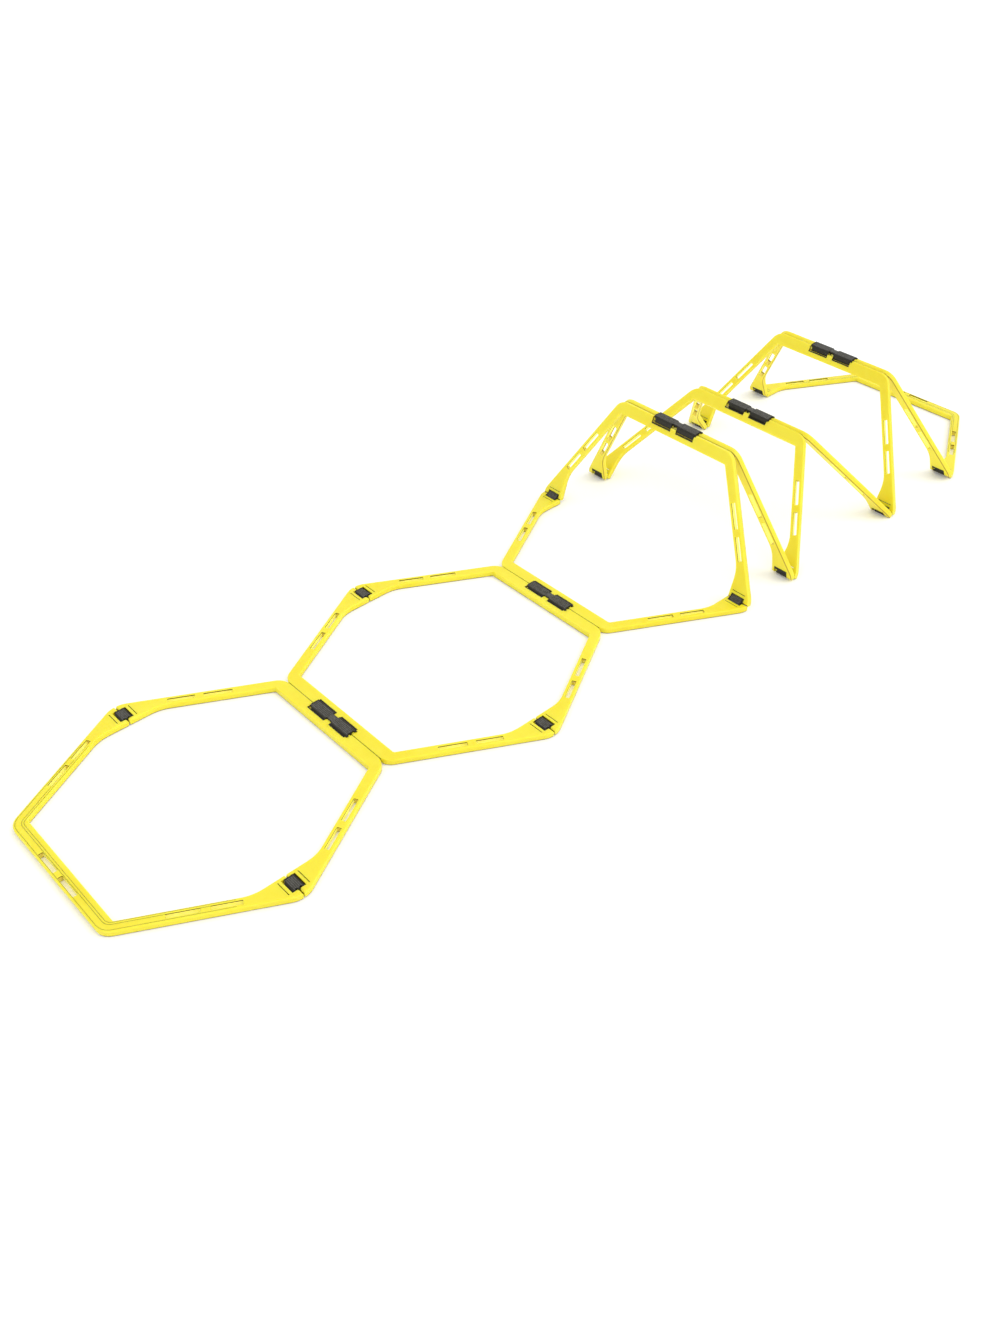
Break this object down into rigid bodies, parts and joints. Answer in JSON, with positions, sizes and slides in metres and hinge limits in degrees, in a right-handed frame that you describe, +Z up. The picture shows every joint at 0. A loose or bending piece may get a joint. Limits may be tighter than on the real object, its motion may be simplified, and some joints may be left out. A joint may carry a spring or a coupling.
{
  "type": "agility hurdle",
  "caption": "Folding ladder and hurdle set: half-hexagon panels chained by black links, lying flat at one end and standing as low A-frame hurdles at the other.",
  "frame": {"origin": "centre of the bounding box on the floor", "axes": "+X along the chain from the flat end to the hurdle end, +Y across to the left feet, +Z up"},
  "size_m": [1.9962, 0.4902, 0.2281],
  "materials": {
    "panel_plastic": "satin moulded plastic",
    "link_rubber": "matt ribbed rubber"
  },
  "bodies": {
    "panel_01": {"panel_01": "panel_plastic"},
    "panel_02": {"panel_02": "panel_plastic"},
    "panel_03": {"panel_03": "panel_plastic"},
    "panel_04": {"panel_04": "panel_plastic"},
    "panel_05": {"panel_05": "panel_plastic"},
    "panel_06": {"panel_06": "panel_plastic"},
    "panel_07": {"panel_07": "panel_plastic"},
    "panel_08": {"panel_08": "panel_plastic"},
    "panel_09": {"panel_09": "panel_plastic"},
    "panel_10": {"panel_10": "panel_plastic"},
    "panel_11": {"panel_11": "panel_plastic"},
    "panel_12": {"panel_12": "panel_plastic"},
    "top_link_1": {"top_link_1": "link_rubber"},
    "top_link_2": {"top_link_2": "link_rubber"},
    "top_link_3": {"top_link_3": "link_rubber"},
    "top_link_4": {"top_link_4": "link_rubber"},
    "top_link_5": {"top_link_5": "link_rubber"},
    "foot_link_1_left": {"foot_link_1_left": "link_rubber"},
    "foot_link_1_right": {"foot_link_1_right": "link_rubber"},
    "foot_link_2_left": {"foot_link_2_left": "link_rubber"},
    "foot_link_2_right": {"foot_link_2_right": "link_rubber"},
    "foot_link_3_left": {"foot_link_3_left": "link_rubber"},
    "foot_link_3_right": {"foot_link_3_right": "link_rubber"},
    "foot_link_4_left": {"foot_link_4_left": "link_rubber"},
    "foot_link_4_right": {"foot_link_4_right": "link_rubber"},
    "foot_link_5_left": {"foot_link_5_left": "link_rubber"},
    "foot_link_5_right": {"foot_link_5_right": "link_rubber"},
    "foot_link_6_left": {"foot_link_6_left": "link_rubber"},
    "foot_link_6_right": {"foot_link_6_right": "link_rubber"}
  },
  "joints": [
    {"name": "fold_05_06", "type": "hinge", "parent": "panel_05", "child": "foot_link_3_left", "pos_m": [0.13822, 0.2215, 0.00525], "axis": [0, -1, 0], "range_deg": [-36.75, 53.25]},
    {"name": "fold_05_06_right", "type": "hinge", "parent": "panel_05", "child": "foot_link_3_right", "pos_m": [0.13822, -0.2215, 0.00525], "axis": [0, -1, 0], "range_deg": [-36.75, 53.25]},
    {"name": "fold_05_06_far", "type": "hinge", "parent": "foot_link_3_left", "child": "panel_06", "pos_m": [0.14695, 0.2215, 0.01177], "axis": [0, -1, 0], "range_deg": [-36.75, 53.25]},
    {"name": "fold_06_07", "type": "hinge", "parent": "panel_06", "child": "top_link_3", "pos_m": [0.20872, 0, 0.22032], "axis": [0, 1, 0], "range_deg": [-75.4, 14.6]},
    {"name": "fold_06_07_far", "type": "hinge", "parent": "top_link_3", "child": "panel_07", "pos_m": [0.21962, 0, 0.21995], "axis": [0, 1, 0], "range_deg": [-75.4, 14.6]},
    {"name": "fold_07_08", "type": "hinge", "parent": "panel_07", "child": "foot_link_4_left", "pos_m": [0.26744, 0.2215, 0.00778], "axis": [0, -1, 0], "range_deg": [-63.9, 26.1]},
    {"name": "fold_07_08_right", "type": "hinge", "parent": "panel_07", "child": "foot_link_4_right", "pos_m": [0.26744, -0.2215, 0.00778], "axis": [0, -1, 0], "range_deg": [-63.9, 26.1]},
    {"name": "fold_07_08_far", "type": "hinge", "parent": "foot_link_4_left", "child": "panel_08", "pos_m": [0.27804, 0.2215, 0.00525], "axis": [0, -1, 0], "range_deg": [-63.9, 26.1]},
    {"name": "fold_08_09", "type": "hinge", "parent": "panel_08", "child": "top_link_4", "pos_m": [0.41639, 0, 0.17308], "axis": [0, 1, 0], "range_deg": [-50.5, 39.5]},
    {"name": "fold_08_09_far", "type": "hinge", "parent": "top_link_4", "child": "panel_09", "pos_m": [0.42729, 0, 0.17308], "axis": [0, 1, 0], "range_deg": [-50.5, 39.5]},
    {"name": "fold_09_10", "type": "hinge", "parent": "panel_09", "child": "foot_link_5_left", "pos_m": [0.56564, 0.2215, 0.00525], "axis": [0, -1, 0], "range_deg": [-58.75, 31.25]},
    {"name": "fold_09_10_right", "type": "hinge", "parent": "panel_09", "child": "foot_link_5_right", "pos_m": [0.56564, -0.2215, 0.00525], "axis": [0, -1, 0], "range_deg": [-58.75, 31.25]},
    {"name": "fold_09_10_far", "type": "hinge", "parent": "foot_link_5_left", "child": "panel_10", "pos_m": [0.57642, 0.2215, 0.00681], "axis": [0, -1, 0], "range_deg": [-58.75, 31.25]},
    {"name": "fold_10_11", "type": "hinge", "parent": "panel_10", "child": "top_link_5", "pos_m": [0.66141, 0, 0.20702], "axis": [0, 1, 0], "range_deg": [-65.72, 24.28]},
    {"name": "fold_10_11_far", "type": "hinge", "parent": "top_link_5", "child": "panel_11", "pos_m": [0.6723, 0, 0.20727], "axis": [0, 1, 0], "range_deg": [-65.72, 24.28]},
    {"name": "fold_11_12", "type": "hinge", "parent": "panel_11", "child": "foot_link_6_left", "pos_m": [0.76616, 0.2215, 0.01106], "axis": [0, -1, 0], "range_deg": [-32.22, 57.78]},
    {"name": "fold_11_12_right", "type": "hinge", "parent": "panel_11", "child": "foot_link_6_right", "pos_m": [0.76616, -0.2215, 0.01106], "axis": [0, -1, 0], "range_deg": [-32.22, 57.78]},
    {"name": "fold_11_12_far", "type": "hinge", "parent": "foot_link_6_left", "child": "panel_12", "pos_m": [0.77538, 0.2215, 0.00525], "axis": [0, -1, 0], "range_deg": [-32.22, 57.78]},
    {"name": "fold_04_05", "type": "hinge", "parent": "panel_05", "child": "top_link_2", "pos_m": [-0.07928, 0, 0.00525], "axis": [0, -1, 0], "range_deg": [0, 90]},
    {"name": "fold_04_05_far", "type": "hinge", "parent": "top_link_2", "child": "panel_04", "pos_m": [-0.09018, 0, 0.00525], "axis": [0, -1, 0], "range_deg": [0, 90]},
    {"name": "fold_03_04", "type": "hinge", "parent": "panel_04", "child": "foot_link_2_left", "pos_m": [-0.30768, 0.2215, 0.00525], "axis": [0, 1, 0], "range_deg": [0, 90]},
    {"name": "fold_03_04_right", "type": "hinge", "parent": "panel_04", "child": "foot_link_2_right", "pos_m": [-0.30768, -0.2215, 0.00525], "axis": [0, 1, 0], "range_deg": [0, 90]},
    {"name": "fold_03_04_far", "type": "hinge", "parent": "foot_link_2_left", "child": "panel_03", "pos_m": [-0.31858, 0.2215, 0.00525], "axis": [0, 1, 0], "range_deg": [0, 90]},
    {"name": "fold_02_03", "type": "hinge", "parent": "panel_03", "child": "top_link_1", "pos_m": [-0.53608, 0, 0.00525], "axis": [0, -1, 0], "range_deg": [0, 90]},
    {"name": "fold_02_03_far", "type": "hinge", "parent": "top_link_1", "child": "panel_02", "pos_m": [-0.54698, 0, 0.00525], "axis": [0, -1, 0], "range_deg": [0, 90]},
    {"name": "fold_01_02", "type": "hinge", "parent": "panel_02", "child": "foot_link_1_left", "pos_m": [-0.76448, 0.2215, 0.00525], "axis": [0, 1, 0], "range_deg": [0, 90]},
    {"name": "fold_01_02_right", "type": "hinge", "parent": "panel_02", "child": "foot_link_1_right", "pos_m": [-0.76448, -0.2215, 0.00525], "axis": [0, 1, 0], "range_deg": [0, 90]},
    {"name": "fold_01_02_far", "type": "hinge", "parent": "foot_link_1_left", "child": "panel_01", "pos_m": [-0.77538, 0.2215, 0.00525], "axis": [0, 1, 0], "range_deg": [0, 90]}
  ],
  "couplings": [
    {"joint": "fold_05_06_right", "follows": "fold_05_06", "ratio": 1},
    {"joint": "fold_07_08_right", "follows": "fold_07_08", "ratio": 1},
    {"joint": "fold_09_10_right", "follows": "fold_09_10", "ratio": 1},
    {"joint": "fold_11_12_right", "follows": "fold_11_12", "ratio": 1},
    {"joint": "fold_03_04_right", "follows": "fold_03_04", "ratio": 1},
    {"joint": "fold_01_02_right", "follows": "fold_01_02", "ratio": 1}
  ]
}
